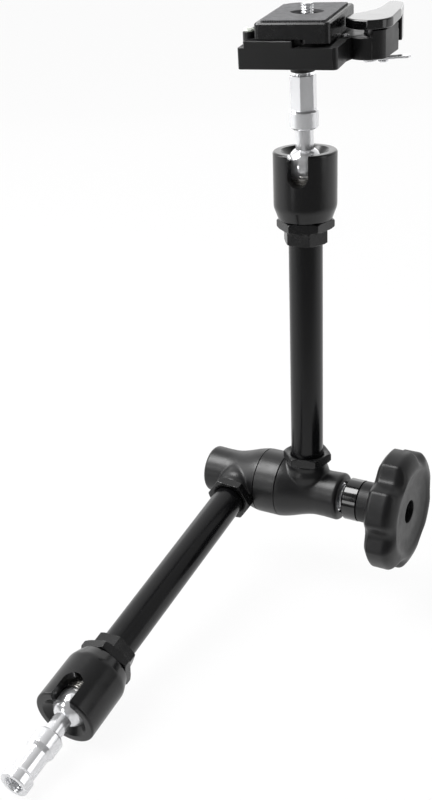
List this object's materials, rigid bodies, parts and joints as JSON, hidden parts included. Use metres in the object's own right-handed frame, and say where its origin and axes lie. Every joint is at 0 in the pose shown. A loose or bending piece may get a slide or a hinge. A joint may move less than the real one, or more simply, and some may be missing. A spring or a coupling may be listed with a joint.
{
  "type": "articulating friction arm",
  "caption": "Black articulating friction arm: two tubes on a knob-locked elbow, slotted ball joints, a chromed 5/8 inch spigot and a quick-release camera clamp.",
  "frame": {"origin": "centre of the end face of the lower 5/8 inch spigot", "axes": "+Z along the upper tube towards its socket; +X along the elbow's hinge axis towards the knob; -Y the side to which the lower tube points"},
  "size_m": [0.1416, 0.2975, 0.3438],
  "materials": {
    "chrome": "bright plated",
    "zinc_steel": "plated",
    "black_enamel": "satin black enamel on cast metal",
    "gloss_black": "gloss black paint on metal",
    "black_anodised": "satin anodised",
    "black_rubber": "satin",
    "pad_rubber": "matte",
    "bronze": "sintered",
    "friction_lining": "matte",
    "polymer": "natural",
    "vial": "clear"
  },
  "bodies": {
    "spigot": {"lower_spigot": "chrome"},
    "lower_ball": {"lower_ball_stem": "chrome"},
    "lower_socket": {"lower_socket_cup": "black_enamel", "lower_ball_seat": "bronze", "lower_seat_washer": "zinc_steel"},
    "lower_arm": {"lower_jam_nut": "black_enamel", "lower_socket_bush": "black_enamel", "lower_tube": "black_anodised", "lower_rod_guide_1": "polymer", "lower_rod_guide_2": "polymer", "lower_tube_nut": "black_enamel", "lower_housing": "black_enamel", "friction_ring": "black_enamel", "lower_friction_disc": "friction_lining", "centre_sleeve": "bronze", "elbow_spring": "zinc_steel"},
    "lower_rod": {"lower_push_rod": "zinc_steel"},
    "spindle": {"elbow_spindle": "zinc_steel", "lower_wedge": "zinc_steel"},
    "upper_arm": {"upper_housing": "black_enamel", "upper_friction_disc": "friction_lining", "upper_tube_nut": "black_enamel", "upper_tube": "black_anodised", "upper_rod_guide_1": "polymer", "upper_rod_guide_2": "polymer", "upper_socket_bush": "black_enamel", "upper_jam_nut": "black_enamel"},
    "upper_wedge_body": {"upper_wedge": "zinc_steel"},
    "upper_rod": {"upper_push_rod": "zinc_steel"},
    "knob_carrier": {"thrust_washer": "zinc_steel", "spring_washer": "chrome", "knob_washer": "zinc_steel"},
    "knob": {"knob_grip": "black_rubber", "knob_hub": "gloss_black"},
    "upper_socket": {"upper_socket_cup": "black_enamel", "upper_ball_seat": "bronze", "upper_seat_washer": "zinc_steel"},
    "upper_ball": {"upper_ball_stem": "chrome"},
    "clamp": {"clamp_base": "black_enamel", "quick_release_plate": "black_enamel", "camera_pad": "pad_rubber", "lever_pivot_pin": "chrome", "safety_rivet": "chrome", "trigger_plunger": "chrome", "trigger_spring": "zinc_steel", "spirit_level": "vial"},
    "lever": {"clamp_lever": "gloss_black"},
    "catch": {"safety_lever": "chrome"},
    "screw": {"camera_screw": "chrome"}
  },
  "joints": [
    {"name": "lower_spin", "type": "hinge", "parent": "spigot", "child": "lower_ball", "pos_m": [0, 0.05114, 0.01096], "axis": [0, -0.9778, -0.2096], "continuous": true},
    {"name": "lower_tilt", "type": "hinge", "parent": "lower_ball", "child": "lower_socket", "pos_m": [0, 0.05114, 0.01096], "axis": [0.9945, 0.0219, -0.1022], "range_deg": [-31, 90]},
    {"name": "lower_swivel", "type": "hinge", "parent": "lower_socket", "child": "lower_arm", "pos_m": [0, 0.05114, 0.01096], "axis": [0, -0.9778, -0.2096], "continuous": true},
    {"name": "lower_rod_slide", "type": "slide", "parent": "lower_arm", "child": "lower_rod", "axis": [0, -0.9778, -0.2096], "range_m": [-0.0003, 0]},
    {"name": "spindle_slide", "type": "slide", "parent": "lower_arm", "child": "spindle", "axis": [-1, 0, 0], "range_m": [0, 0.0012]},
    {"name": "elbow", "type": "hinge", "parent": "lower_arm", "child": "upper_arm", "pos_m": [0, 0.24621, 0.05278], "axis": [1, 0, 0], "range_deg": [-180, 180]},
    {"name": "upper_wedge_slide", "type": "slide", "parent": "upper_arm", "child": "upper_wedge_body", "axis": [1, 0, 0], "range_m": [0, 0.0012]},
    {"name": "upper_rod_slide", "type": "slide", "parent": "upper_arm", "child": "upper_rod", "axis": [0, 0, 1], "range_m": [-0.0003, 0]},
    {"name": "knob_travel", "type": "slide", "parent": "upper_arm", "child": "knob_carrier", "axis": [1, 0, 0], "range_m": [0, 0.003]},
    {"name": "knob_turn", "type": "hinge", "parent": "knob_carrier", "child": "knob", "pos_m": [0.069, 0.24621, 0.05278], "axis": [1, 0, 0], "range_deg": [0, 720]},
    {"name": "upper_swivel", "type": "hinge", "parent": "upper_arm", "child": "upper_socket", "pos_m": [0.0418, 0.24621, 0.25228], "axis": [0, 0, 1], "continuous": true},
    {"name": "upper_tilt", "type": "hinge", "parent": "upper_socket", "child": "upper_ball", "pos_m": [0.0418, 0.24621, 0.25228], "axis": [0.9806, 0.1959, 0], "range_deg": [-34.9, 86.1]},
    {"name": "clamp_turn", "type": "hinge", "parent": "upper_ball", "child": "clamp", "pos_m": [0.0418, 0.24621, 0.25228], "axis": [0.0133, -0.0667, 0.9977], "continuous": true},
    {"name": "clamp_lever_turn", "type": "hinge", "parent": "clamp", "child": "lever", "pos_m": [0.07519, 0.25326, 0.32357], "axis": [-0.0133, 0.0667, -0.9977], "range_deg": [0, 100]},
    {"name": "safety_catch", "type": "hinge", "parent": "clamp", "child": "catch", "pos_m": [0.08233, 0.25413, 0.3087], "axis": [0.0133, -0.0667, 0.9977], "range_deg": [0, 30]},
    {"name": "camera_screw_turn", "type": "hinge", "parent": "clamp", "child": "screw", "pos_m": [0.04645, 0.24061, 0.32291], "axis": [0.0133, -0.0667, 0.9977], "continuous": true}
  ],
  "couplings": [
    {"joint": "knob_travel", "follows": "knob_turn", "m_per_rad": 0.00023873},
    {"joint": "upper_wedge_slide", "follows": "knob_turn", "m_per_rad": 0.000095493},
    {"joint": "spindle_slide", "follows": "knob_turn", "m_per_rad": 0.000095493},
    {"joint": "lower_rod_slide", "follows": "knob_turn", "m_per_rad": -0.000023873},
    {"joint": "upper_rod_slide", "follows": "knob_turn", "m_per_rad": -0.000023873}
  ]
}
